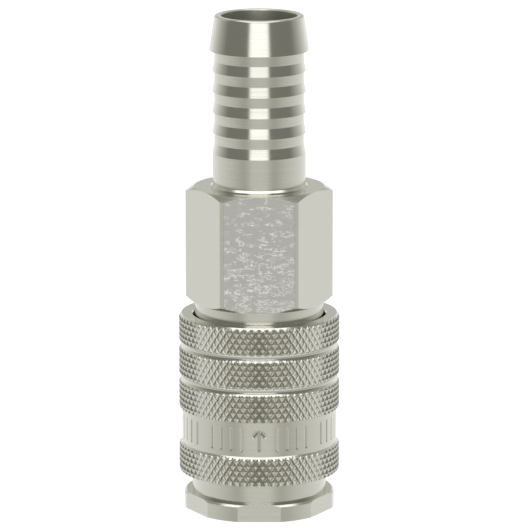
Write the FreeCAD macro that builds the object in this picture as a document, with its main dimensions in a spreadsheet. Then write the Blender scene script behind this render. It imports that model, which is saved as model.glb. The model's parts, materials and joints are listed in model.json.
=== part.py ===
"""Quick-release hose coupling socket: ball-lock socket with a sliding knurled sleeve and a barbed tail.

Frame: millimetres, +Z along the coupling's axis from the mouth to the hose tail. The origin is the centre of
the mouth flange's face, so the coupling stands on z = 0. One flat of the flange and of the hexagon faces -Y.
"""

import FreeCAD, Part
import math
import os
import re

import Sketcher

SIZES = {
    # mouth flange and front neck
    "flange_diameter": 31.3,
    "flange_across_flats": 30.0,
    "flange_height": 3.55,
    "flange_chamfer_width": 0.4,
    "flange_chamfer_height": 0.4,
    "front_neck_diameter": 28.0,
    "front_neck_end": 13.0,
    # barrel inside the sleeve, with the plug's bore
    "barrel_diameter": 20.4,
    "barrel_end": 36.5,
    "plug_bore": 14.0,
    "plug_bore_end": 18.9,
    "relief_bore": 14.5,
    "relief_end": 31.5,
    "mouth_chamfer": 0.8,
    "spigot_diameter": 20.0,
    "spigot_end": 43.0,
    "edge_break": 0.3,
    "cut_margin": 1.0,
    # locking balls and their holes
    "ball_count": 6,
    "ball_diameter": 5.0,
    "ball_circle_radius": 9.1,
    "ball_plane": 21.5,
    "ball_hole_diameter": 5.1,
    "ball_lip_diameter": 4.9,
    "ball_lip_height": 0.2,
    "ball_gap": 0.06,
    # sliding sleeve
    "sleeve_diameter": 33.5,
    "sleeve_front": 7.9,
    "sleeve_rear": 41.4,
    "sleeve_edge_width": 0.55,
    "sleeve_edge_height": 0.8,
    "front_band_end": 13.4,
    "marking_diameter": 32.2,
    "marking_start": 14.1,
    "marking_end": 21.35,
    "rear_bands_start": 21.5,
    "rear_band_pitch": 7.1,
    "band_groove_centre": 27.85,
    "band_groove_height": 1.85,
    "band_groove_floor": 0.6,
    "band_groove_depth": 0.6,
    "sleeve_front_bore": 28.14,
    "sleeve_front_bore_end": 17.7,
    "sleeve_land_diameter": 20.9,
    "sleeve_shoulder": 27.7,
    "sleeve_rear_bore": 27.6,
    "ramp_slope": 0.25,
    # rear connector: neck and hexagon
    "rear_neck_diameter": 26.9,
    "hex_start": 43.9,
    "hex_end": 68.2,
    "hex_across_flats": 27.0,
    "hex_corner_diameter": 30.6,
    "hex_chamfer_height": 1.04,
    # hose tail
    "tail_ring_diameter": 20.2,
    "tail_ring_end": 68.4,
    "tail_land_diameter": 19.3,
    "tail_land_start": 68.85,
    "tail_core_diameter": 18.5,
    "tail_bore": 15.74,
    "barb_count": 5,
    "barb_crest_diameter": 19.32,
    "barb_start": 75.25,
    "barb_pitch": 4.3,
    "barb_height": 2.13,
    "tip_crest_diameter": 20.6,
    "tip_start": 96.78,
    "tip_end_diameter": 18.46,
    "rim_round": 0.4,
    "total_length": 104.0,
    # chamber behind the valve
    "chamber_diameter": 18.0,
    "chamber_end": 58.0,
    "chamber_cone_end": 62.0,
    # spring washer and sleeve spring
    "washer_thickness": 0.5,
    "washer_inner_diameter": 20.6,
    "washer_outer_diameter": 26.6,
    "sleeve_spring_mean_diameter": 24.0,
    "sleeve_spring_wire": 1.1,
    "sleeve_spring_turns": 4,
    # ball retainer ring and its spring
    "retainer_outer_diameter": 14.3,
    "retainer_inner_diameter": 11.0,
    "retainer_nose_diameter": 12.0,
    "retainer_cone_angle": 20,
    "retainer_end": 25.5,
    "ring_spring_mean_diameter": 12.6,
    "ring_spring_wire": 0.8,
    "ring_spring_turns": 3,
    # seal carrier with its seals
    "carrier_diameter": 16.4,
    "carrier_bore": 10.9,
    "carrier_end": 37.0,
    "carrier_lead_in": 0.5,
    "plug_groove_start": 32.3,
    "plug_groove_end": 34.6,
    "plug_groove_diameter": 13.5,
    "plug_seal_section": 1.3,
    "plug_seal_diameter": 12.1,
    "plug_seal_height": 33.0,
    "backup_ring_start": 33.75,
    "backup_ring_end": 34.55,
    "backup_ring_inner_diameter": 10.9,
    "backup_ring_outer_diameter": 13.4,
    "carrier_groove_start": 34.9,
    "carrier_groove_end": 36.3,
    "carrier_groove_diameter": 14.0,
    "carrier_seal_section": 1.18,
    "carrier_seal_diameter": 15.2,
    # valve
    "poppet_tube_outer_diameter": 10.2,
    "poppet_tube_inner_diameter": 7.6,
    "poppet_front": 34.8,
    "poppet_window_width": 3.2,
    "poppet_window_end": 39.6,
    "poppet_window_start": 36.0,
    "poppet_head_diameter": 14.4,
    "poppet_head_start": 37.8,
    "poppet_head_end": 40.8,
    "poppet_head_edge": 1.0,
    "poppet_spigot_diameter": 8.8,
    "poppet_spigot_end": 42.6,
    "poppet_stem_diameter": 4.4,
    "poppet_stem_end": 59.0,
    "poppet_stem_chamfer": 0.5,
    "valve_seal_inner_diameter": 10.2,
    "valve_seal_outer_diameter": 13.8,
    "valve_spring_mean_diameter": 10.4,
    "valve_spring_wire": 0.9,
    "valve_spring_turns": 7,
    "guide_start": 55.0,
    "guide_rim_inner_diameter": 15.2,
    "guide_hub_diameter": 7.4,
    "guide_bore": 4.6,
    "guide_arm_width": 1.8,
    "guide_arm_count": 3,
    # seal between body and connector
    "body_groove_start": 40.6,
    "body_groove_end": 41.9,
    "body_groove_diameter": 17.8,
    "body_seal_section": 1.1,
    "body_seal_diameter": 18.9,
}

doc = FreeCAD.newDocument("quick_coupling")
sheet = doc.addObject("Spreadsheet::Sheet", "sizes")
parts = []


def fill_sheet():
    """Puts every driving dimension in its own aliased cell."""
    for row, (name, value) in enumerate(SIZES.items(), start=1):
        sheet.set("A%d" % row, name)
        sheet.set("B%d" % row, str(value))
        sheet.setAlias("B%d" % row, name)
    doc.recompute()


def formula(text):
    """Writes a formula of size names as an expression on the sheet's cells."""
    return re.sub(r"[a-z]+(?:_[a-z]+)+", lambda word: "sizes." + word.group(0), text)


def keep(part, name):
    """Gives a finished sub-part its name."""
    part.Label = name
    parts.append(part)
    return part


def new_body(name):
    return keep(doc.addObject("PartDesign::Body", name), name)


def origin_plane(body, role):
    return next(item for item in body.Origin.OriginFeatures if item.Role == role)


def add_sketch(body, name, role, height=None):
    """Attaches a sketch to one of the body's own planes, raised to a height along its normal."""
    sketch = body.newObject("Sketcher::SketchObject", name)
    sketch.AttachmentSupport = (origin_plane(body, role), [""])
    sketch.MapMode = "FlatFace"
    if height:
        sketch.setExpression("AttachmentOffset.Base.z", formula(height))
    return sketch


def bind(sketch, constraint, text):
    """Adds a constraint and ties its value to a formula of the sheet's sizes."""
    index = sketch.addConstraint(constraint)
    sketch.setExpression("Constraints[%d]" % index, formula(text))


def worked_out(text):
    """The number that a formula of size names stands for now."""
    return float(sheet.evalExpression(formula(text).replace("sizes.", "")))


def place_point(sketch, edge, end, x, y):
    """Holds one end of an edge at formulas x and y; a 0 puts it on that axis."""
    if x == "0":
        sketch.addConstraint(Sketcher.Constraint("PointOnObject", edge, end, -2))
    else:
        bind(sketch, Sketcher.Constraint("DistanceX", -1, 1, edge, end, worked_out(x)), x)
    if y == "0":
        sketch.addConstraint(Sketcher.Constraint("PointOnObject", edge, end, -1))
    else:
        bind(sketch, Sketcher.Constraint("DistanceY", -1, 1, edge, end, worked_out(y)), y)


def add_outline(sketch, points):
    """Draws a closed outline of straight edges through points given as pairs of formulas."""
    places = [FreeCAD.Vector(worked_out(x), worked_out(y), 0) for x, y in points]
    count = len(points)
    for i in range(count):
        sketch.addGeometry(Part.LineSegment(places[i], places[(i + 1) % count]), False)
    for i in range(count):
        sketch.addConstraint(Sketcher.Constraint("Coincident", i, 2, (i + 1) % count, 1))
    for i, (x, y) in enumerate(points):
        place_point(sketch, i, 1, x, y)


def add_circle(sketch, x, y, diameter):
    """Draws a circle whose centre and diameter are formulas."""
    centre = FreeCAD.Vector(worked_out(x), worked_out(y), 0)
    circle = Part.Circle(centre, FreeCAD.Vector(0, 0, 1), worked_out(diameter) / 2)
    edge = sketch.addGeometry(circle, False)
    bind(sketch, Sketcher.Constraint("Diameter", edge, worked_out(diameter)), diameter)
    place_point(sketch, edge, 3, x, y)


def turn(body, name, points):
    """Turns an outline of (radius, height) formulas about the coupling's axis."""
    sketch = add_sketch(body, name + "_outline", "XZ_Plane")
    add_outline(sketch, points)
    turned = body.newObject("PartDesign::Revolution", name)
    turned.Profile = sketch
    turned.ReferenceAxis = (sketch, ["V_Axis"])
    turned.Angle = 360
    doc.recompute()
    return turned


def cut_groove(body, name, points):
    """Cuts a turned groove whose outline is given as (radius, height) formulas."""
    before = body.Shape.Volume
    sketch = add_sketch(body, name + "_outline", "XZ_Plane")
    add_outline(sketch, points)
    groove = body.newObject("PartDesign::Groove", name)
    groove.Profile = sketch
    groove.ReferenceAxis = (sketch, ["V_Axis"])
    groove.Angle = 360
    finish_cut(body, name, before)
    return groove


def finish_cut(body, name, before):
    """Stops the build where a cut took nothing away."""
    doc.recompute()
    if body.Shape.Volume > before - 1e-3:
        raise RuntimeError(name + " cut nothing")


def repeat_round(body, feature, count):
    """Repeats a feature evenly about the coupling's axis."""
    before = body.Shape.Volume
    pattern = body.newObject("PartDesign::PolarPattern", feature.Name + "_pattern")
    pattern.Originals = [feature]
    pattern.Axis = (origin_axis(body), [""])
    pattern.Angle = 360
    pattern.Occurrences = count
    body.Tip = pattern
    doc.recompute()
    if abs(body.Shape.Volume - before) < 1e-3:
        raise RuntimeError(feature.Name + " was not repeated")
    return pattern


def origin_axis(body):
    return next(item for item in body.Origin.OriginFeatures if item.Role == "Z_Axis")


def cut_flats(body, name, across_flats, start, height):
    """Mills six flats: the first on +Y, so that the fourth faces -Y."""
    before = body.Shape.Volume
    sketch = add_sketch(body, name + "_outline", "XY_Plane", start)
    half = across_flats + " / 2"
    add_outline(sketch, [("-" + half, half), (half, half), (half, across_flats), ("-" + half, across_flats)])
    pocket = body.newObject("PartDesign::Pocket", name)
    pocket.Profile = sketch
    pocket.Type = 0
    pocket.setExpression("Length", formula(height))
    pocket.Reversed = True
    finish_cut(body, name, before)
    return repeat_round(body, pocket, 6)


def round_circles(body, name, rounding, radius, height):
    """Rounds the circular edge of a given radius and height."""
    chosen = []
    for number, edge in enumerate(body.Shape.Edges, start=1):
        circle = edge.Curve
        if not isinstance(circle, Part.Circle):
            continue
        off = abs(circle.Radius - worked_out(radius)) + abs(circle.Center.z - worked_out(height))
        if off < 1e-4:
            chosen.append("Edge%d" % number)
    if not chosen:
        raise RuntimeError(name + " found no edge")
    base = body.Tip
    fillet = body.newObject("PartDesign::Fillet", name)
    fillet.Base = (base, chosen)
    fillet.setExpression("Radius", formula(rounding))
    body.Tip = fillet
    doc.recompute()


def make_socket_body():
    """Flange, front neck and barrel in one turned piece, with radial holes for the balls."""
    body = new_body("socket_body")
    turn(
        body,
        "turned_body",
        [
            ("plug_bore / 2 + mouth_chamfer", "0"),
            ("flange_diameter / 2", "0"),
            ("flange_diameter / 2", "flange_height - flange_chamfer_height"),
            ("flange_diameter / 2 - flange_chamfer_width", "flange_height"),
            ("front_neck_diameter / 2", "flange_height"),
            ("front_neck_diameter / 2", "front_neck_end - edge_break"),
            ("front_neck_diameter / 2 - edge_break", "front_neck_end"),
            ("barrel_diameter / 2", "front_neck_end"),
            ("barrel_diameter / 2", "barrel_end"),
            ("spigot_diameter / 2", "barrel_end"),
            ("spigot_diameter / 2", "spigot_end - edge_break"),
            ("spigot_diameter / 2 - edge_break", "spigot_end"),
            ("carrier_diameter / 2", "spigot_end"),
            ("carrier_diameter / 2", "relief_end"),
            ("relief_bore / 2", "relief_end"),
            ("relief_bore / 2", "plug_bore_end"),
            ("plug_bore / 2", "plug_bore_end"),
            ("plug_bore / 2", "mouth_chamfer"),
        ],
    )
    cut_flats(body, "flange_flat", "flange_across_flats", "0", "flange_height")
    cut_groove(
        body,
        "body_seal_groove",
        [
            ("body_groove_diameter / 2", "body_groove_start"),
            ("spigot_diameter / 2 + cut_margin", "body_groove_start"),
            ("spigot_diameter / 2 + cut_margin", "body_groove_end"),
            ("body_groove_diameter / 2", "body_groove_end"),
        ],
    )
    drill_ball_holes(body)


def drill_ball_holes(body):
    """Each ball hole leaves a narrower lip at the bore, which keeps its ball from falling in."""
    lip_end = "relief_bore / 2 + ball_lip_height"
    stages = [
        ("ball_hole", "ball_hole_diameter", lip_end, "barrel_diameter / 2 + cut_margin"),
        ("ball_lip", "ball_lip_diameter", "plug_bore / 2 - cut_margin", lip_end),
    ]
    for name, diameter, inner, outer in stages:
        before = body.Shape.Volume
        sketch = add_sketch(body, name + "_outline", "YZ_Plane", inner)
        add_circle(sketch, "0", "ball_plane", diameter)
        pocket = body.newObject("PartDesign::Pocket", name)
        pocket.Profile = sketch
        pocket.Type = 0
        pocket.setExpression("Length", formula("(%s) - (%s)" % (outer, inner)))
        pocket.Reversed = True
        finish_cut(body, name, before)
        repeat_round(body, pocket, SIZES["ball_count"])


def ramp_radius(height):
    """The sleeve's ramp clears the balls by ball_gap; it opens toward the mouth."""
    start = "ball_circle_radius + (ball_diameter / 2 + ball_gap) * sqrt(1 + ramp_slope ^ 2)"
    return "%s - ramp_slope * ((%s) - ball_plane)" % (start, height)


def make_locking_sleeve():
    """Sleeve with plain bands of full diameter, where the knurl is rolled, and a marking band."""
    body = new_body("locking_sleeve")
    ramp_front = ramp_radius("sleeve_front_bore_end")
    ramp_top = "ball_plane + (%s - sleeve_land_diameter / 2) / ramp_slope" % ramp_radius("ball_plane")
    turn(
        body,
        "turned_sleeve",
        [
            ("sleeve_front_bore / 2 + edge_break", "sleeve_front"),
            ("sleeve_diameter / 2 - edge_break", "sleeve_front"),
            ("sleeve_diameter / 2", "sleeve_front + edge_break"),
            ("sleeve_diameter / 2", "front_band_end"),
            ("marking_diameter / 2", "marking_start"),
            ("marking_diameter / 2", "marking_end"),
            ("sleeve_diameter / 2", "rear_bands_start"),
            ("sleeve_diameter / 2", "sleeve_rear - sleeve_edge_height"),
            ("sleeve_diameter / 2 - sleeve_edge_width", "sleeve_rear"),
            ("sleeve_rear_bore / 2 + edge_break", "sleeve_rear"),
            ("sleeve_rear_bore / 2", "sleeve_rear - edge_break"),
            ("sleeve_rear_bore / 2", "sleeve_shoulder"),
            ("sleeve_land_diameter / 2", "sleeve_shoulder"),
            ("sleeve_land_diameter / 2", ramp_top),
            (ramp_front, "sleeve_front_bore_end"),
            ("sleeve_front_bore / 2", "sleeve_front_bore_end"),
            ("sleeve_front_bore / 2", "sleeve_front + edge_break"),
        ],
    )
    for number in range(2):
        centre = "band_groove_centre + %d * rear_band_pitch" % number
        cut_band_groove(body, "band_groove_%d" % (number + 1), centre)


def cut_band_groove(body, name, centre):
    """A V groove with a flat floor between two knurled bands."""
    bottom = "sleeve_diameter / 2 - band_groove_depth"
    top = "sleeve_diameter / 2 + cut_margin"
    half = "band_groove_height / 2"
    half_floor = "band_groove_floor / 2"
    cut_groove(
        body,
        name,
        [
            (bottom, "%s - %s" % (centre, half_floor)),
            ("sleeve_diameter / 2", "%s - %s" % (centre, half)),
            (top, "%s - %s" % (centre, half)),
            (top, "%s + %s" % (centre, half)),
            ("sleeve_diameter / 2", "%s + %s" % (centre, half)),
            (bottom, "%s + %s" % (centre, half_floor)),
        ],
    )


def barb_points():
    """Each barb widens away from the tip to a sharp crest, then steps back to the core."""
    points = []
    for number in range(SIZES["barb_count"]):
        crest = "barb_start + %d * barb_pitch" % number
        if number > 0:
            points.append(("tail_core_diameter / 2", crest))
        points.append(("barb_crest_diameter / 2", crest))
        points.append(("tail_core_diameter / 2", crest + " + barb_height"))
    return points


def make_rear_connector():
    """Rear neck, wrench hexagon and hose tail in one turned piece."""
    body = new_body("rear_connector")
    turn(
        body,
        "turned_connector",
        [
            ("spigot_diameter / 2", "barrel_end"),
            ("rear_neck_diameter / 2 - edge_break", "barrel_end"),
            ("rear_neck_diameter / 2", "barrel_end + edge_break"),
            ("rear_neck_diameter / 2", "hex_start"),
            ("hex_across_flats / 2", "hex_start"),
            ("hex_corner_diameter / 2", "hex_start + hex_chamfer_height"),
            ("hex_corner_diameter / 2", "hex_end - hex_chamfer_height"),
            ("hex_across_flats / 2", "hex_end"),
            ("tail_ring_diameter / 2", "hex_end"),
            ("tail_ring_diameter / 2", "tail_ring_end"),
            ("tail_land_diameter / 2", "tail_land_start"),
            ("tail_land_diameter / 2", "barb_start"),
        ]
        + barb_points()
        + [
            ("tail_core_diameter / 2", "tip_start"),
            ("tip_crest_diameter / 2", "tip_start"),
            ("tip_end_diameter / 2", "total_length"),
            ("tail_bore / 2", "total_length"),
            ("tail_bore / 2", "chamber_cone_end"),
            ("chamber_diameter / 2", "chamber_end"),
            ("chamber_diameter / 2", "spigot_end"),
            ("spigot_diameter / 2", "spigot_end"),
        ],
    )
    cut_flats(body, "wrench_flat", "hex_across_flats", "hex_start", "hex_end - hex_start")
    round_circles(body, "outer_rim", "rim_round", "tip_end_diameter / 2", "total_length")
    round_circles(body, "inner_rim", "edge_break", "tail_bore / 2", "total_length")


def make_ring(name, inner, outer, start, end):
    """A plain flat ring."""
    body = new_body(name)
    points = [(inner + " / 2", start), (outer + " / 2", start), (outer + " / 2", end), (inner + " / 2", end)]
    turn(body, name + "_turned", points)


def make_spring(name, mean_diameter, wire, turns, start, end):
    """A coil spring whose wire just reaches both of its seats."""
    body = new_body(name)
    sketch = add_sketch(body, name + "_wire", "XZ_Plane")
    add_circle(sketch, mean_diameter + " / 2", "(%s) + %s / 2" % (start, wire), wire)
    coil = body.newObject("PartDesign::AdditiveHelix", name + "_coil")
    coil.Profile = sketch
    coil.ReferenceAxis = (sketch, ["V_Axis"])
    coil.Mode = "height-turns-angle"
    coil.setExpression("Height", formula("(%s) - (%s) - %s" % (end, start, wire)))
    coil.setExpression("Turns", formula(turns))
    doc.recompute()


def make_o_ring(name, diameter, section, height):
    """An O-ring from its mean diameter and the diameter of its cord."""
    ring = doc.addObject("Part::Torus", name)
    ring.setExpression("Radius1", formula(diameter + " / 2"))
    ring.setExpression("Radius2", formula(section + " / 2"))
    ring.setExpression("Placement.Base.z", formula(height))
    keep(ring, name)


def make_locking_balls():
    """Six balls in one plane; the first lies on +X."""
    for number in range(SIZES["ball_count"]):
        name = "locking_ball_%d" % (number + 1)
        angle = "%d * 360 / ball_count" % number
        ball = doc.addObject("Part::Sphere", name)
        ball.setExpression("Radius", formula("ball_diameter / 2"))
        ball.setExpression("Placement.Base.x", formula("ball_circle_radius * cos(%s)" % angle))
        ball.setExpression("Placement.Base.y", formula("ball_circle_radius * sin(%s)" % angle))
        ball.setExpression("Placement.Base.z", formula("ball_plane"))
        keep(ball, name)


def make_retainer_ring():
    """Its nose cone bears on the balls' inner rear side, clear of them by ball_gap."""
    body = new_body("ball_retainer_ring")
    angle = "retainer_cone_angle"
    reach = "(ball_diameter / 2 + ball_gap)"
    contact_radius = "ball_circle_radius - %s * cos(%s)" % (reach, angle)
    contact_height = "ball_plane + %s * sin(%s)" % (reach, angle)
    nose = "%s - (%s - retainer_nose_diameter / 2) / tan(%s)" % (contact_height, contact_radius, angle)
    cone_end = "%s + (retainer_outer_diameter / 2 - (%s)) / tan(%s)" % (
        contact_height,
        contact_radius,
        angle,
    )
    turn(
        body,
        "turned_retainer",
        [
            ("retainer_inner_diameter / 2", nose),
            ("retainer_nose_diameter / 2", nose),
            ("retainer_outer_diameter / 2", cone_end),
            ("retainer_outer_diameter / 2", "retainer_end"),
            ("retainer_inner_diameter / 2", "retainer_end"),
        ],
    )


def make_seal_carrier():
    """Bush with an inner groove for the plug's seal and an outer one for its own."""
    body = new_body("seal_carrier")
    turn(
        body,
        "turned_carrier",
        [
            ("carrier_bore / 2 + carrier_lead_in", "relief_end"),
            ("carrier_diameter / 2", "relief_end"),
            ("carrier_diameter / 2", "carrier_groove_start"),
            ("carrier_groove_diameter / 2", "carrier_groove_start"),
            ("carrier_groove_diameter / 2", "carrier_groove_end"),
            ("carrier_diameter / 2", "carrier_groove_end"),
            ("carrier_diameter / 2", "carrier_end"),
            ("carrier_bore / 2", "carrier_end"),
            ("carrier_bore / 2", "plug_groove_end"),
            ("plug_groove_diameter / 2", "plug_groove_end"),
            ("plug_groove_diameter / 2", "plug_groove_start"),
            ("carrier_bore / 2", "plug_groove_start"),
            ("carrier_bore / 2", "relief_end + carrier_lead_in"),
        ],
    )


def make_valve_poppet():
    """Windowed front tube, sealing head, spring spigot and guided stem."""
    body = new_body("valve_poppet")
    turn(
        body,
        "turned_poppet",
        [
            ("poppet_tube_inner_diameter / 2", "poppet_front"),
            ("poppet_tube_outer_diameter / 2", "poppet_front"),
            ("poppet_tube_outer_diameter / 2", "poppet_head_start"),
            ("poppet_head_diameter / 2", "poppet_head_start"),
            ("poppet_head_diameter / 2", "poppet_head_end - poppet_head_edge"),
            ("poppet_head_diameter / 2 - poppet_head_edge", "poppet_head_end"),
            ("poppet_spigot_diameter / 2", "poppet_head_end"),
            ("poppet_spigot_diameter / 2", "poppet_spigot_end - poppet_stem_chamfer"),
            ("poppet_spigot_diameter / 2 - poppet_stem_chamfer", "poppet_spigot_end"),
            ("poppet_stem_diameter / 2", "poppet_spigot_end"),
            ("poppet_stem_diameter / 2", "poppet_stem_end - poppet_stem_chamfer"),
            ("poppet_stem_diameter / 2 - poppet_stem_chamfer", "poppet_stem_end"),
            ("0", "poppet_stem_end"),
            ("0", "poppet_window_end"),
            ("poppet_tube_inner_diameter / 2", "poppet_window_end - poppet_head_edge"),
        ],
    )
    cut_poppet_windows(body)


def cut_poppet_windows(body):
    """Four windows let the flow out of the tube once the head is off its seat."""
    before = body.Shape.Volume
    sketch = add_sketch(body, "window_outline", "YZ_Plane")
    half = "poppet_window_width / 2"
    add_outline(
        sketch,
        [
            ("-" + half, "poppet_window_start"),
            (half, "poppet_window_start"),
            (half, "poppet_head_start"),
            ("-" + half, "poppet_head_start"),
        ],
    )
    pocket = body.newObject("PartDesign::Pocket", "window")
    pocket.Profile = sketch
    pocket.Type = 0
    pocket.setExpression("Length", formula("poppet_tube_outer_diameter / 2 + cut_margin"))
    pocket.Reversed = True
    finish_cut(body, "window", before)
    repeat_round(body, pocket, 4)


def make_valve_guide():
    """Rim, hub and three arms that carry the poppet's stem and the valve spring."""
    body = new_body("valve_guide")
    turn(
        body,
        "guide_rim",
        [
            ("guide_rim_inner_diameter / 2", "guide_start"),
            ("chamber_diameter / 2", "guide_start"),
            ("chamber_diameter / 2", "chamber_end"),
            ("guide_rim_inner_diameter / 2", "chamber_end"),
        ],
    )
    sketch = add_sketch(body, "arm_outline", "XY_Plane", "guide_start")
    half = "guide_arm_width / 2"
    inner = "(guide_hub_diameter + guide_bore) / 4"
    outer = "(guide_rim_inner_diameter + chamber_diameter) / 4"
    add_outline(sketch, [(inner, "-" + half), (outer, "-" + half), (outer, half), (inner, half)])
    arm = body.newObject("PartDesign::Pad", "guide_arm")
    arm.Profile = sketch
    arm.setExpression("Length", formula("chamber_end - guide_start"))
    body.Tip = arm
    doc.recompute()
    repeat_round(body, arm, SIZES["guide_arm_count"])
    turn(
        body,
        "guide_hub",
        [
            ("guide_bore / 2", "guide_start"),
            ("guide_hub_diameter / 2", "guide_start"),
            ("guide_hub_diameter / 2", "chamber_end"),
            ("guide_bore / 2", "chamber_end"),
        ],
    )


def make_small_parts():
    """Washer, springs, seals and rings."""
    washer_start = "barrel_end - washer_thickness"
    make_ring("spring_washer", "washer_inner_diameter", "washer_outer_diameter", washer_start, "barrel_end")
    make_spring(
        "sleeve_spring",
        "sleeve_spring_mean_diameter",
        "sleeve_spring_wire",
        "sleeve_spring_turns",
        "sleeve_shoulder",
        washer_start,
    )
    make_spring(
        "ring_spring",
        "ring_spring_mean_diameter",
        "ring_spring_wire",
        "ring_spring_turns",
        "retainer_end",
        "relief_end",
    )
    make_spring(
        "valve_spring",
        "valve_spring_mean_diameter",
        "valve_spring_wire",
        "valve_spring_turns",
        "poppet_head_end",
        "guide_start",
    )
    make_o_ring("plug_seal", "plug_seal_diameter", "plug_seal_section", "plug_seal_height")
    carrier_height = "(carrier_groove_start + carrier_groove_end) / 2"
    make_o_ring("carrier_seal", "carrier_seal_diameter", "carrier_seal_section", carrier_height)
    body_height = "(body_groove_start + body_groove_end) / 2"
    make_o_ring("body_seal", "body_seal_diameter", "body_seal_section", body_height)
    make_ring(
        "backup_ring",
        "backup_ring_inner_diameter",
        "backup_ring_outer_diameter",
        "backup_ring_start",
        "backup_ring_end",
    )
    make_ring(
        "valve_seal",
        "valve_seal_inner_diameter",
        "valve_seal_outer_diameter",
        "carrier_end",
        "poppet_head_start",
    )


def check_document():
    """Stops the build where any object failed or any sub-part's shape is unsound."""
    doc.recompute()
    for item in doc.Objects:
        if "Invalid" in item.State or "Error" in item.State:
            raise RuntimeError("%s: %s" % (item.Label, item.State))
    for part in parts:
        if part.Shape.isNull() or not part.Shape.isValid():
            raise RuntimeError(part.Label + " has no valid shape")
        if len(part.Shape.Solids) != 1:
            raise RuntimeError("%s has %d solids" % (part.Label, len(part.Shape.Solids)))


def export_parts():
    os.makedirs("parts", exist_ok=True)
    for part in parts:
        part.Shape.exportStep("parts/%s.step" % part.Label)
        print("%-20s %9.1f mm3" % (part.Label, part.Shape.Volume))


fill_sheet()
make_socket_body()
make_locking_sleeve()
make_rear_connector()
make_locking_balls()
make_retainer_ring()
make_seal_carrier()
make_valve_poppet()
make_valve_guide()
make_small_parts()
check_document()
export_parts()
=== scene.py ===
"""Looks of the quick-release hose coupling socket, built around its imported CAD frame.

Metres, with +Z from the mouth to the hose tail. One flat of the flange and one of the hexagon face -Y, where
the camera is.
"""

import json
import math

import bpy
import numpy as np
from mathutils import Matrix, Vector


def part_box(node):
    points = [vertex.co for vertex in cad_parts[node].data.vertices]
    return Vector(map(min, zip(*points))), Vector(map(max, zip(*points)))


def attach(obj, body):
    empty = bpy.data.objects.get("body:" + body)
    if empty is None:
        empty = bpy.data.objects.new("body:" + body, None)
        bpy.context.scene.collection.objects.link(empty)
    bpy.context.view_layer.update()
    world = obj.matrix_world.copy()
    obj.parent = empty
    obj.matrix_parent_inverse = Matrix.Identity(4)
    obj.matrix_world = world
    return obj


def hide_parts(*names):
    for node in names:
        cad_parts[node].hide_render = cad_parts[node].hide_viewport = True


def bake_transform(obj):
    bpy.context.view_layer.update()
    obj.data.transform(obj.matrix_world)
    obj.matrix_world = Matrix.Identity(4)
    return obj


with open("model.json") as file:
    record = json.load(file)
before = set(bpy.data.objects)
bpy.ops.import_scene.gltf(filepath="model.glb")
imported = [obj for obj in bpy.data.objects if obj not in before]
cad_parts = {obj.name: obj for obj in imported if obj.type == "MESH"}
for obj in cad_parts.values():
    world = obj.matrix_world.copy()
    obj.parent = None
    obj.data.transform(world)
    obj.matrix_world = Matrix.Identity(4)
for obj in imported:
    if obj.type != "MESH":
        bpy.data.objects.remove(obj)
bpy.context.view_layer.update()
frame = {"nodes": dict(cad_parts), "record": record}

MM = 0.001


# Camera

VIEW_ELEVATION = math.radians(11.9)
CAMERA_DISTANCE = 0.9271
CAMERA_LENS = 302.3
SENSOR_WIDTH = 36.0
NEAREST_SEEN = 0.01
AIM = (0.00121, 0.0, 0.05134)


def add_camera():
    data = bpy.data.cameras.new("camera")
    data.lens = CAMERA_LENS
    data.sensor_width = SENSOR_WIDTH
    data.clip_start = NEAREST_SEEN
    camera = bpy.data.objects.new("camera", data)
    camera.location = (
        AIM[0],
        AIM[1] - CAMERA_DISTANCE * math.cos(VIEW_ELEVATION),
        AIM[2] + CAMERA_DISTANCE * math.sin(VIEW_ELEVATION),
    )
    camera.rotation_euler = (math.pi / 2 - VIEW_ELEVATION, 0.0, 0.0)
    bpy.context.scene.collection.objects.link(camera)
    bpy.context.scene.camera = camera


# Node helpers


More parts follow.
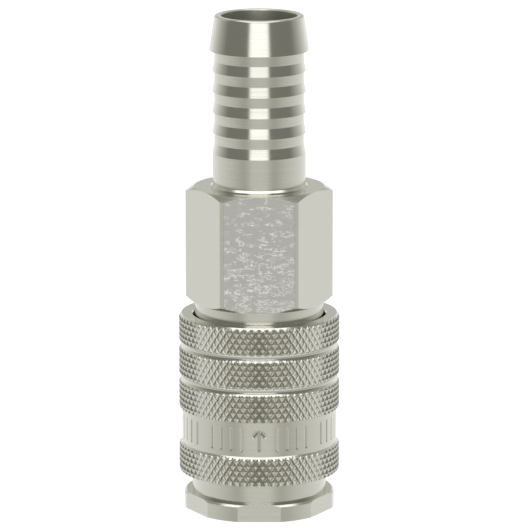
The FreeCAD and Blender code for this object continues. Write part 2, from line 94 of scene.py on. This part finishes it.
class Nodes:
    """Short ways to add and join the nodes of one node tree."""

    def __init__(self, tree):
        self.tree = tree
        tree.nodes.clear()

    def add(self, kind, **settings):
        node = self.tree.nodes.new(kind)
        for name, value in settings.items():
            setattr(node, name, value)
        return node

    def link(self, value, socket):
        """Joins an output to a socket, or sets the socket to a plain value."""
        if isinstance(value, bpy.types.NodeSocket):
            self.tree.links.new(value, socket)
        else:
            socket.default_value = value

    def math(self, operation, *values):
        node = self.add("ShaderNodeMath", operation=operation)
        for value, socket in zip(values, node.inputs):
            self.link(value, socket)
        return node.outputs[0]

    def product(self, first, *others):
        for other in others:
            first = self.math("MULTIPLY", first, other)
        return first

    def ramp(self, value, low, high, out_low=0.0, out_high=1.0):
        """Runs smoothly from out_low at low to out_high at high."""
        node = self.add("ShaderNodeMapRange", interpolation_type="SMOOTHSTEP")
        for given, socket in zip((value, low, high, out_low, out_high), node.inputs):
            self.link(given, socket)
        return node.outputs[0]

    def blend(self, factor, a, b):
        """Mixes two values. A Mix node keeps them on inputs 2 and 3, and colours on 6 and 7."""
        node = self.add("ShaderNodeMix", data_type="FLOAT")
        for given, socket in zip((factor, a, b), (node.inputs[0], node.inputs[2], node.inputs[3])):
            self.link(given, socket)
        return node.outputs[0]

    def mix(self, factor, a, b):
        """Mixes two colours."""
        node = self.add("ShaderNodeMix", data_type="RGBA")
        for given, socket in zip((factor, a, b), (node.inputs[0], node.inputs[6], node.inputs[7])):
            self.link(given, socket)
        return node.outputs[2]

    def place(self):
        """The surface point's own place, in metres in the object's frame."""
        return self.add("ShaderNodeTexCoord").outputs["Object"]

    def separate(self, vector):
        node = self.add("ShaderNodeSeparateXYZ")
        self.link(vector, node.inputs[0])
        return node.outputs

    def combine(self, x, y, z):
        node = self.add("ShaderNodeCombineXYZ")
        for value, socket in zip((x, y, z), node.inputs):
            self.link(value, socket)
        return node.outputs[0]

    def noise(self, vector, scale, detail, roughness):
        node = self.add("ShaderNodeTexNoise")
        self.link(vector, node.inputs["Vector"])
        node.inputs["Scale"].default_value = scale
        node.inputs["Detail"].default_value = detail
        node.inputs["Roughness"].default_value = roughness
        return node.outputs[0]

    def stretched_noise(self, place, scales, detail, roughness):
        """A noise with its own scale along each axis."""
        scaled = [self.product(value, scale) for value, scale in zip(place, scales)]
        return self.noise(self.combine(*scaled), 1.0, detail, roughness)


def new_material(name):
    material = bpy.data.materials.new(name)
    material.use_nodes = True
    n = Nodes(material.node_tree)
    shader = n.add("ShaderNodeBsdfPrincipled")
    output = n.add("ShaderNodeOutputMaterial")
    n.link(shader.outputs[0], output.inputs["Surface"])
    return material, n, shader


# Studio

# Light around the object, from straight down up to the shoulder of the room, as (angle from the front in
# degrees, radiance). At the top it is the same all around.
NADIR_LIGHT = ((0, 0.85), (180, 0.95))
DEEP_LIGHT = ((0, 0.48), (90, 0.45), (133, 0.7), (161, 0.9))
LOW_LIGHT = (
    (0, 0.70), (18, 0.69), (30, 0.54), (38, 0.49), (47, 0.53),
    (58, 0.60), (70, 0.66), (84, 0.71), (113, 0.79), (150, 0.92),
)
EYE_LIGHT = ((0, 0.3), (25, 0.22), (84, 0.22), (106, 0.45), (147, 0.95))
HIGH_LIGHT = ((0, 0.33), (25, 0.22), (84, 0.24), (120, 0.58), (138, 0.72), (156, 0.54), (180, 0.52))
SHOULDER_LIGHT = ((0, 0.33), (25, 0.2), (75, 0.2), (95, 0.35), (120, 0.5), (156, 0.48), (180, 0.45))
TOP_LIGHT = 0.31

# Elevations in degrees over which one level turns into the next
NADIR_TO_DEEP = (-62.0, -30.0)
DEEP_TO_LOW = (-26.0, -16.0)
LOW_TO_EYE = (-9.5, -4.5)
EYE_TO_HIGH = (12.0, 20.0)
HIGH_TO_SHOULDER = (22.0, 29.0)
SHOULDER_TO_TOP = (38.0, 52.0)

# Behind the object the high level starts this many degrees lower, fully so from the second angle on
REAR_RISE = 8.0
REAR_ANGLES = (105.0, 145.0)

# Narrow light in front of the object, at its own height. Each pair of degrees is a soft edge.
FRONT_STRIP_LIGHT = 1.5
FRONT_STRIP_ANGLE = (28.0, 19.0)
FRONT_STRIP_LOW = (-0.5, 3.5)
FRONT_STRIP_HIGH = (17.0, 13.0)

# Wide light under the ceiling, from above the camera to just behind the object, and wider toward the camera.
# Each pair is a soft edge, as slopes from the vertical.
CEILING_LIGHT = 1.5
CEILING_HALF_WIDTH = (0.72, 0.58)
CEILING_FLARE = 0.18
CEILING_BACK = (0.5, 0.2)
CEILING_FRONT = (-2.4, -0.7)
LEAST_RISE = 0.001  # the rise given to directions below the horizon, which takes them off the ceiling

# Dim light is a little yellow: its share of blue, and the radiances over which that fades
DIM_BLUE = 0.93
DIM_RANGE = (0.5, 0.85)

BRIGHTEST = 2.0  # the light that white stands for in a colour ramp


def light_around(n, angle, stops):
    """Light at one level, from its list of angles."""
    ramp = n.add("ShaderNodeValToRGB")
    n.link(n.math("DIVIDE", angle, 180.0), ramp.inputs[0])
    elements = ramp.color_ramp.elements
    while len(elements) < len(stops):
        elements.new(1.0)
    for element, (at, light) in zip(elements, stops):
        element.position = at / 180.0
        element.color = (light / BRIGHTEST,) * 3 + (1.0,)
    return n.product(ramp.outputs[0], BRIGHTEST)


def room_light(n, angle, height):
    """The room's light: its levels, blended from the lowest up."""
    risen = n.math("ADD", height, n.ramp(angle, *REAR_ANGLES, 0.0, REAR_RISE))
    levels = (
        (height, NADIR_TO_DEEP, DEEP_LIGHT),
        (height, DEEP_TO_LOW, LOW_LIGHT),
        (height, LOW_TO_EYE, EYE_LIGHT),
        (risen, EYE_TO_HIGH, HIGH_LIGHT),
        (height, HIGH_TO_SHOULDER, SHOULDER_LIGHT),
    )
    light = light_around(n, angle, NADIR_LIGHT)
    for at, (start, end), stops in levels:
        light = n.blend(n.ramp(at, start, end), light, light_around(n, angle, stops))
    return n.blend(n.ramp(height, *SHOULDER_TO_TOP), light, TOP_LIGHT)


def ceiling_shape(n, side, y, z):
    """1 in the directions of the light under the ceiling, 0 elsewhere."""
    rise = n.math("MAXIMUM", z, LEAST_RISE)
    across, along = n.math("DIVIDE", side, rise), n.math("DIVIDE", y, rise)
    flare = n.math("SUBTRACT", 1.0, n.product(along, CEILING_FLARE))
    width = n.ramp(n.math("DIVIDE", across, flare), *CEILING_HALF_WIDTH)
    return n.product(width, n.ramp(along, *CEILING_BACK), n.ramp(along, *CEILING_FRONT))


def add_studio():
    """A studio with a narrow light in front, darker sides, a light rear wall and one wide light above."""
    world = bpy.data.worlds.new("studio")
    bpy.context.scene.world = world
    world.use_nodes = True
    n = Nodes(world.node_tree)
    x, y, z = n.separate(n.add("ShaderNodeTexCoord").outputs["Generated"])  # a direction, in a world
    side = n.math("ABSOLUTE", x)
    angle = n.math("DEGREES", n.math("ARCTAN2", side, n.product(y, -1.0)))
    height = n.math("DEGREES", n.math("ARCSINE", z))
    strip = n.product(
        n.ramp(angle, *FRONT_STRIP_ANGLE),
        n.ramp(height, *FRONT_STRIP_LOW),
        n.ramp(height, *FRONT_STRIP_HIGH),
    )
    light = n.blend(strip, room_light(n, angle, height), FRONT_STRIP_LIGHT)
    light = n.blend(ceiling_shape(n, side, y, z), light, CEILING_LIGHT)
    background = n.add("ShaderNodeBackground")
    n.link(light, background.inputs["Strength"])
    n.link(n.combine(1.0, 1.0, n.ramp(light, *DIM_RANGE, DIM_BLUE, 1.0)), background.inputs["Color"])
    output = n.add("ShaderNodeOutputWorld")
    n.link(background.outputs[0], output.inputs["Surface"])


FLOOR_SIZE = 20.0
FLOOR_DROP = 0.02 * MM  # keeps the floor out of the plane of the flange's face
FLOOR_COLOUR = (0.35, 0.35, 0.35, 1.0)
FLOOR_GLOW = 0.86
WHITE = (1.0, 1.0, 1.0, 1.0)


def add_floor():
    """A white floor, lit evenly from within, which the metal doesn't mirror: the studio stands in for it."""
    half = FLOOR_SIZE / 2
    corners = [(x * half, y * half, -FLOOR_DROP) for x, y in ((-1, -1), (1, -1), (1, 1), (-1, 1))]
    mesh = bpy.data.meshes.new("floor")
    mesh.from_pydata(corners, [], [(0, 1, 2, 3)])
    floor = bpy.data.objects.new("floor", mesh)
    bpy.context.scene.collection.objects.link(floor)
    material, n, shader = new_material("white_floor")
    n.link(FLOOR_COLOUR, shader.inputs["Base Color"])
    n.link(1.0, shader.inputs["Roughness"])
    n.link(0.0, shader.inputs["Specular IOR Level"])
    n.link(WHITE, shader.inputs["Emission Color"])
    n.link(FLOOR_GLOW, shader.inputs["Emission Strength"])
    mesh.materials.append(material)
    floor.visible_glossy = False


# Materials

# Where nearly all of a noise's values lie, and their middle
NOISE_RANGE = (0.3, 0.7)
NOISE_MIDDLE = 0.5

# Fine rings left by the lathe: scales of their noise, per metre, and the heights of their relief
RING_SCALES = (40.0, 40.0, 5200.0)
RING_DETAIL = 3.0
RING_ROUGHNESS = 0.65
PLATE_RINGS = 0.003 * MM
CONNECTOR_RINGS = 0.006 * MM
FINE_RINGS = 0.002 * MM

NICKEL = (0.74, 0.735, 0.665, 1.0)
PLATE_ROUGHNESS = (0.13, 0.2)

# Painted shade in the sleeve's knurl grooves, darker with their depth, and the marks' own darker marking
# colour, both from the depth in millimetres that the sleeve's mesh carries as an attribute
GROOVE_SHADE_AND_MARK_COLOUR = (0.54, 0.53, 0.46, 1.0)
GROOVE_SHADE_DEPTH = (0.2, 0.4)
DEPTH = "depth"

# The duller wall of the hose tail's bore
BORE_RADIUS = 8.1 * MM
BORE_START = 60.0 * MM
BORE_ROUGHNESS = 0.35
BORE_METALLIC = 0.98

# The flat of the hexagon that faces -Y keeps the rough skin of the bar
SKIN_EDGE = (7.35 * MM, 7.15 * MM)
SKIN_PLANE = -13.45 * MM
SKIN_HEIGHTS = (43.9 * MM, 68.2 * MM)
SKIN_COLOUR = (0.70, 0.69, 0.665, 1.0)
SKIN_ROUGHNESS = 0.42

# Short pale scratches in that skin: their noise, and the noise of the patches that have them. What the second
# has to pass rises from the foot of the flat to its top.
SCRATCH_COLOUR = (0.97, 0.97, 0.95, 1.0)
SCRATCH_METALLIC = 0.35
SCRATCH_SCALES = (620.0, 1.0, 2100.0)
SCRATCH_DETAIL = 4.0
SCRATCH_ROUGHNESS = 0.62
SCRATCH_EDGE = (0.03, 0.008)
PATCH_SCALES = (420.0, 1.0, 900.0)
PATCH_SLICE = 3.0
PATCH_DETAIL = 2.0
PATCH_ROUGHNESS = 0.5
PATCH_LEVELS = (0.43, 0.54)
PATCH_EDGE = (-0.02, 0.06)

# Grain of rubber and plastic
GRAIN_SCALE = 4000.0
GRAIN_DETAIL = 4.0
GRAIN_ROUGHNESS = 0.6
GRAIN_SHADE = 0.8
GRAIN_SPREAD = 0.15
GRAIN_STRENGTH = 0.4
GRAIN_HEIGHT = 0.01 * MM


def add_relief(n, shader, height, strength, distance):
    bump = n.add("ShaderNodeBump")
    n.link(strength, bump.inputs["Strength"])
    n.link(distance, bump.inputs["Distance"])
    n.link(height, bump.inputs["Height"])
    n.link(bump.outputs[0], shader.inputs["Normal"])


def metal_nodes(name, colour, roughness, ring_height):
    """A metal with turned rings, which fade in and out around the axis and which its roughness follows.

    Returns the roughness with the material, for materials that add to it.
    """
    material, n, shader = new_material(name)
    rings = n.stretched_noise(n.separate(n.place()), RING_SCALES, RING_DETAIL, RING_ROUGHNESS)
    rough = n.ramp(rings, *NOISE_RANGE, *roughness)
    add_relief(n, shader, rings, 1.0, ring_height)
    n.link(1.0, shader.inputs["Metallic"])
    n.link(colour, shader.inputs["Base Color"])
    n.link(rough, shader.inputs["Roughness"])
    return material, n, shader, rough


def plain_metal(name, colour, roughness, ring_height=FINE_RINGS):
    return metal_nodes(name, colour, roughness, ring_height)[0]


def knurled_material():
    """The sleeve's nickel plate, with painted shade in the knurl's grooves and a darker marking colour in the
    marks.
    """
    material, n, shader, _ = metal_nodes("nickel_knurled", NICKEL, PLATE_ROUGHNESS, FINE_RINGS)
    depth = n.add("ShaderNodeAttribute", attribute_name=DEPTH).outputs["Fac"]
    # Painted shade: the base colour darkens with the depth of the knurl's grooves; the marks get the same
    # darker colour as their marking
    n.link(n.mix(n.ramp(depth, *GROOVE_SHADE_DEPTH), NICKEL, GROOVE_SHADE_AND_MARK_COLOUR), shader.inputs["Base Color"])
    return material


def skin_area(n, x, y, z):
    """1 on the rough skin of the front flat, 0 elsewhere."""
    across = n.ramp(n.math("ABSOLUTE", x), *SKIN_EDGE)
    above, below = n.math("GREATER_THAN", z, SKIN_HEIGHTS[0]), n.math("LESS_THAN", z, SKIN_HEIGHTS[1])
    return n.product(across, n.math("LESS_THAN", y, SKIN_PLANE), above, below)


def scratches(n, x, z):
    """Short scratches where a noise crosses its middle, in patches that are more common low down."""
    wrinkles = n.stretched_noise((x, 0.0, z), SCRATCH_SCALES, SCRATCH_DETAIL, SCRATCH_ROUGHNESS)
    crossing = n.math("ABSOLUTE", n.math("SUBTRACT", wrinkles, NOISE_MIDDLE))
    patches = n.stretched_noise((x, PATCH_SLICE, z), PATCH_SCALES, PATCH_DETAIL, PATCH_ROUGHNESS)
    passed = n.math("SUBTRACT", patches, n.ramp(z, *SKIN_HEIGHTS, *PATCH_LEVELS))
    return n.product(n.ramp(crossing, *SCRATCH_EDGE), n.ramp(passed, *PATCH_EDGE))


def bore_area(n, x, y, z):
    """1 on the wall of the hose tail's bore, 0 elsewhere."""
    radius = n.math("SQRT", n.math("ADD", n.product(x, x), n.product(y, y)))
    return n.product(n.math("LESS_THAN", radius, BORE_RADIUS), n.math("GREATER_THAN", z, BORE_START))


def connector_material():
    """The rear connector's nickel plate, with the front flat's rough skin and the bore's duller wall."""
    material, n, shader, rough = metal_nodes("nickel_rough_flat", NICKEL, PLATE_ROUGHNESS, CONNECTOR_RINGS)
    x, y, z = n.separate(n.place())
    skin = skin_area(n, x, y, z)
    scratch = n.product(scratches(n, x, z), skin)
    bore = bore_area(n, x, y, z)
    metallic = n.blend(scratch, n.blend(bore, 1.0, BORE_METALLIC), SCRATCH_METALLIC)
    n.link(metallic, shader.inputs["Metallic"])
    n.link(n.blend(skin, n.blend(bore, rough, BORE_ROUGHNESS), SKIN_ROUGHNESS), shader.inputs["Roughness"])
    n.link(n.mix(scratch, n.mix(skin, NICKEL, SKIN_COLOUR), SCRATCH_COLOUR), shader.inputs["Base Color"])
    return material


def soft_material(name, colour, roughness):
    """Rubber or plastic, with a fine grain in its colour, roughness and relief."""
    material, n, shader = new_material(name)
    grain = n.noise(n.place(), GRAIN_SCALE, GRAIN_DETAIL, GRAIN_ROUGHNESS)
    darker = tuple(c * GRAIN_SHADE for c in colour[:3]) + (1.0,)
    n.link(n.mix(grain, darker, colour), shader.inputs["Base Color"])
    n.link(n.ramp(grain, *NOISE_RANGE, roughness, roughness + GRAIN_SPREAD), shader.inputs["Roughness"])
    add_relief(n, shader, grain, GRAIN_STRENGTH, GRAIN_HEIGHT)
    return material


# Mesh pieces


def add_mesh(name, vertices, faces, material, sharp_angle):
    mesh = bpy.data.meshes.new(name)
    mesh.from_pydata(vertices, [], faces)
    mesh.validate()
    mesh.shade_smooth()
    mesh.set_sharp_from_angle(angle=math.radians(sharp_angle))
    mesh.materials.append(material)
    piece = bpy.data.objects.new(name, mesh)
    bpy.context.scene.collection.objects.link(piece)
    return piece


# Locking sleeve, in millimetres until its mesh is made

# Knurl: diamonds around, mesh steps in each, a diamond's height, the middle of one row of diamonds, and the
# grooves' depth and half width, the last as a share of a diamond
KNURL_COUNT = 67
KNURL_STEPS = 8
KNURL_PERIOD = 2.246
KNURL_CENTRE = 8.76
KNURL_DEPTH = 0.42
KNURL_FLANK = 0.34

# Outside, from the mouth up
BOTTOM_EDGE = 0.3
FRONT_BAND_END = 13.4
MARKING_START = 14.1
MARKING_END = 21.35
MARKING_RADIUS = 16.1
REAR_BANDS_START = 21.5
GROOVE_CENTRES = (27.85, 34.95)
GROOVE_HEIGHT = 1.85
GROOVE_DEPTH = 0.6
TOP_EDGE_HEIGHT = 0.8
TOP_EDGE_WIDTH = 0.55

# Inside, from the mouth up: front bore, ramp for the balls, land, shoulder for the spring and rear bore
FRONT_BORE_RADIUS = 14.07
FRONT_BORE_END = 17.7
RAMP_FRONT_RADIUS = 12.69
RAMP_SLOPE = 0.25
LAND_RADIUS = 10.45
SHOULDER = 27.7
REAR_BORE_RADIUS = 13.8
BORE_EDGE = 0.3

# Marks on the marking band: arrows for the sleeve's travel between plain bars, in four groups around the band
MARK_GROUPS = 4
MARK_HALF_LINE = 0.12
MARK_EDGE = 0.14
MARK_DEPTH = 0.16
MARK_HALF_HEIGHT = 2.2
MARK_MIDDLE = (MARKING_START + MARKING_END) / 2
MARK_DARKNESS = 2.0  # a mark's darker marking colour equals the painted shade of a knurl groove of this many times its depth
ARROW_HEAD_HALF_WIDTH = 1.3
ARROW_HEAD_HEIGHT = 1.5
BAR_PLACES = (3.8, 6.0, 8.2, 10.4)

# Rows and edges of the mesh
GROOVE_STEPS = 10
MARK_ROWS = 36
EDGE_ROWS = 5
ROW_GAP = 0.2  # the share of a step that the knurl's rows keep from a band's ends
SLEEVE_SHARP_ANGLE = 18.0


def mark_strokes():
    """Ends of one group's strokes, from its middle: the arrow's shaft and head, and the bars beside it."""
    top = MARK_HALF_HEIGHT
    strokes = [((0.0, -top), (0.0, top))]
    for side in (-1, 1):
        strokes.append(((side * ARROW_HEAD_HALF_WIDTH, top - ARROW_HEAD_HEIGHT), (0.0, top)))
        strokes += [((side * place, -top), (side * place, top)) for place in BAR_PLACES]
    return strokes


def mark_depth(angle, height):
    """Depth of the engraved strokes at these angles around the axis and this height."""
    step = 2 * math.pi / MARK_GROUPS
    along = (angle - np.round(angle / step) * step) * MARKING_RADIUS
    up = height - MARK_MIDDLE
    away = []
    for (x0, z0), (x1, z1) in mark_strokes():
        dx, dz = x1 - x0, z1 - z0
        t = np.clip(((along - x0) * dx + (up - z0) * dz) / (dx * dx + dz * dz), 0.0, 1.0)
        away.append(np.hypot(along - x0 - t * dx, up - z0 - t * dz))
    nearest = np.minimum.reduce(away)
    return MARK_DEPTH * np.clip((MARK_HALF_LINE + MARK_EDGE - nearest) / MARK_EDGE, 0.0, 1.0)


def from_whole(value):
    """How far a value is from the nearest whole number."""
    return np.abs(value - np.round(value))


def knurl_depth(turn, height):
    """Depth of the rolled diamond pattern: V grooves that cross, with flat-topped pyramids between."""
    along = (height - KNURL_CENTRE) / KNURL_PERIOD
    nearer_groove = 0.5 - np.maximum(from_whole(turn + along), from_whole(turn - along))
    return KNURL_DEPTH * (1.0 - np.minimum(nearer_groove / KNURL_FLANK, 1.0))


def outer_profile(low, high, radius):
    """(height, turned radius, surface above) from the sleeve's bottom edge to its top edge.

    Knurl and marks get more rows of points. A knurled step gets none: the knurl's grooves only cross it.
    """
    corners = [
        (low, radius - BOTTOM_EDGE, "knurl"),
        (low + BOTTOM_EDGE, radius, "knurl"),
        (FRONT_BAND_END, radius, "knurl"),
        (MARKING_START, MARKING_RADIUS, "marks"),
        (MARKING_END, MARKING_RADIUS, "knurled step"),
        (REAR_BANDS_START, radius, "knurl"),
    ]
    half = GROOVE_HEIGHT / 2
    arc_radius = (half ** 2 + GROOVE_DEPTH ** 2) / (2 * GROOVE_DEPTH)
    arc_end = math.asin(half / arc_radius)
    arc = [arc_end * (2 * k / GROOVE_STEPS - 1) for k in range(GROOVE_STEPS + 1)]
    for centre in GROOVE_CENTRES:
        for angle in arc:
            depth = GROOVE_DEPTH - arc_radius * (1 - math.cos(angle))
            corners.append((centre + arc_radius * math.sin(angle), radius - depth, "knurled step"))
        corners[-1] = (centre + half, radius, "knurl")
    corners += [
        (high - TOP_EDGE_HEIGHT, radius, "knurl"),
        (high, radius - TOP_EDGE_WIDTH, "plain"),
    ]
    return corners


def fill_rows(corners):
    """Adds rows between the corners: at the knurl's own step on the bands, close together on their ends."""
    step = KNURL_PERIOD / KNURL_STEPS
    rows = []
    for (z0, r0, surface), (z1, r1, _) in zip(corners, corners[1:]):
        rows.append((z0, r0, surface))
        if surface == "knurl" and r0 == r1:
            first = math.ceil((z0 - KNURL_CENTRE) / step + ROW_GAP)
            last = math.floor((z1 - KNURL_CENTRE) / step - ROW_GAP)
            rows += [(KNURL_CENTRE + k * step, r0, surface) for k in range(first, last + 1)]
        elif surface in ("knurl", "marks"):
            parts = EDGE_ROWS if surface == "knurl" else MARK_ROWS
            for k in range(1, parts):
                rows.append((z0 + (z1 - z0) * k / parts, r0 + (r1 - r0) * k / parts, surface))
    rows.append(corners[-1])
    return rows


def inner_profile(low, high):
    """(height, radius) down the inside from the top edge to the bottom edge."""
    ramp_end = FRONT_BORE_END + (RAMP_FRONT_RADIUS - LAND_RADIUS) / RAMP_SLOPE
    return [
        (high, REAR_BORE_RADIUS + BORE_EDGE),
        (high - BORE_EDGE, REAR_BORE_RADIUS),
        (SHOULDER, REAR_BORE_RADIUS),
        (SHOULDER, LAND_RADIUS),
        (ramp_end, LAND_RADIUS),
        (FRONT_BORE_END, RAMP_FRONT_RADIUS),
        (FRONT_BORE_END, FRONT_BORE_RADIUS),
        (low + BORE_EDGE, FRONT_BORE_RADIUS),
        (low, FRONT_BORE_RADIUS + BORE_EDGE),
    ]


def sleeve_rings(low, high, radius, turn, angle):
    """(height, radii, depths that set the painted groove shade and the marks' darker colour, surface above)
    of the rings, up the outside, down the inside.
    """
    rings = []
    for z, turned, surface in fill_rows(outer_profile(low, high, radius)):
        if surface == "marks":
            cut = mark_depth(angle, z)
            rings.append((z, turned - cut, MARK_DARKNESS * cut, surface))
        else:
            radii = np.minimum(turned, radius - knurl_depth(turn, z))
            rings.append((z, radii, turned - radii, surface))
    for z, r in inner_profile(low, high):
        rings.append((z, np.full_like(angle, r), np.zeros_like(angle), "plain"))
    return rings


def sleeve_faces(rings, count):
    """Faces between neighbouring rings: quads, split on the knurl along the groove that crosses them."""
    faces = []
    turn = (np.arange(count) + 0.5) / KNURL_STEPS
    for j, (z, _, _, surface) in enumerate(rings):
        above = (j + 1) % len(rings)
        along = ((z + rings[above][0]) / 2 - KNURL_CENTRE) / KNURL_PERIOD
        falls = from_whole(turn + along) > from_whole(turn - along)
        for i in range(count):
            k = (i + 1) % count
            a, b, c, d = j * count + i, j * count + k, above * count + k, above * count + i
            if not surface.startswith("knurl"):
                faces.append((a, b, c, d))
            elif falls[i]:
                faces += [(a, b, d), (b, c, d)]
            else:
                faces += [(a, b, c), (a, c, d)]
    return faces


def make_sleeve(material):
    low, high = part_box("locking_sleeve")
    count = KNURL_COUNT * KNURL_STEPS
    turn = np.arange(count) / KNURL_STEPS
    angle = turn * 2 * math.pi / KNURL_COUNT
    rings = sleeve_rings(low.z / MM, high.z / MM, high.x / MM, turn, angle)
    vertices = []
    for z, radii, _, _ in rings:
        vertices += zip(radii * np.sin(angle) * MM, -radii * np.cos(angle) * MM, np.full(count, z * MM))
    sleeve = add_mesh("knurled_sleeve", vertices, sleeve_faces(rings, count), material, SLEEVE_SHARP_ANGLE)
    depth = sleeve.data.attributes.new(DEPTH, "FLOAT", "POINT")
    # the depth that sets the painted shade of the knurl's grooves and the marks' darker colour
    depth.data.foreach_set("value", np.concatenate([darkening for _, _, darkening, _ in rings]))
    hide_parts("locking_sleeve")
    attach(sleeve, "sleeve")


# Springs: name, CAD node, mean radius, wire, active turns and the body that each one pushes
SPRINGS = (
    ("sleeve_coil", "sleeve_spring", 12.0 * MM, 1.1 * MM, 2.8, "sleeve"),
    ("ring_coil", "ring_spring", 6.3 * MM, 0.8 * MM, 2.2, "retainer"),
    ("valve_coil", "valve_spring", 5.2 * MM, 0.9 * MM, 6.0, "valve"),
)
CLOSED_TURNS = 2  # one at each end
WIRE_SIDES = 14
TURN_STEPS = 56
WIRE_SHARP_ANGLE = 40.0


def coil_points(low, high, mean_radius, wire, active_turns):
    """Rings of points around a wire coiled between two heights, with a closed turn at each end."""
    turns = active_turns + CLOSED_TURNS
    open_height = high - low - (CLOSED_TURNS + 1) * wire
    points = []
    for s in range(int(turns * TURN_STEPS) + 1):
        t = s / TURN_STEPS
        closed = min(t, 1.0) + max(0.0, min(t, turns) - (turns - 1))
        active = max(0.0, min(t - 1.0, active_turns)) / active_turns
        z = low + wire / 2 + closed * wire + active * open_height
        a = 2 * math.pi * t
        for k in range(WIRE_SIDES):
            b = 2 * math.pi * k / WIRE_SIDES
            r = mean_radius + wire / 2 * math.cos(b)
            points.append((r * math.cos(a), r * math.sin(a), z + wire / 2 * math.sin(b)))
    return points


def wire_faces(points):
    """The wall and the two ends of a wire made of such rings."""
    last = len(points) - WIRE_SIDES
    faces = []
    for a in range(0, last, WIRE_SIDES):
        b = a + WIRE_SIDES
        for k in range(WIRE_SIDES):
            m = (k + 1) % WIRE_SIDES
            faces.append((a + k, b + k, b + m, a + m))
    faces.append(tuple(range(WIRE_SIDES)))
    faces.append(tuple(reversed(range(last, last + WIRE_SIDES))))
    return faces


def make_spring(name, node, mean_radius, wire, active_turns, moving_body, material):
    """A coil spring between its two seats."""
    low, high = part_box(node)
    points = coil_points(low.z, high.z, mean_radius, wire, active_turns)
    spring = add_mesh(name, points, wire_faces(points), material, WIRE_SHARP_ANGLE)
    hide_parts(node)
    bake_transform(spring)


def dress(node, material):
    """Gives a CAD node its material."""
    piece = frame["nodes"][node]
    piece.data.materials.clear()
    piece.data.materials.append(material)


add_camera()
add_studio()
add_floor()

slot_materials = {
    "nickel_plate": plain_metal("nickel_plate", NICKEL, PLATE_ROUGHNESS, PLATE_RINGS),
    "turned_brass": plain_metal("turned_brass", (0.80, 0.62, 0.33, 1.0), (0.2, 0.28)),
    "ball_steel": plain_metal("ball_steel", (0.80, 0.80, 0.81, 1.0), (0.06, 0.14)),
    "spring_steel": plain_metal("spring_steel", (0.50, 0.50, 0.51, 1.0), (0.25, 0.33)),
    "seal_rubber": soft_material("seal_rubber", (0.035, 0.035, 0.038, 1.0), 0.5),
    "white_plastic": soft_material("white_plastic", (0.88, 0.87, 0.83, 1.0), 0.4),
}
make_sleeve(knurled_material())
for spring in SPRINGS:
    make_spring(*spring, slot_materials["spring_steel"])
for part in frame["record"]["subparts"]:
    dress(part["node"], slot_materials[part["material_slot"]])
dress("rear_connector", connector_material())

bpy.context.scene.view_settings.view_transform = "Standard"
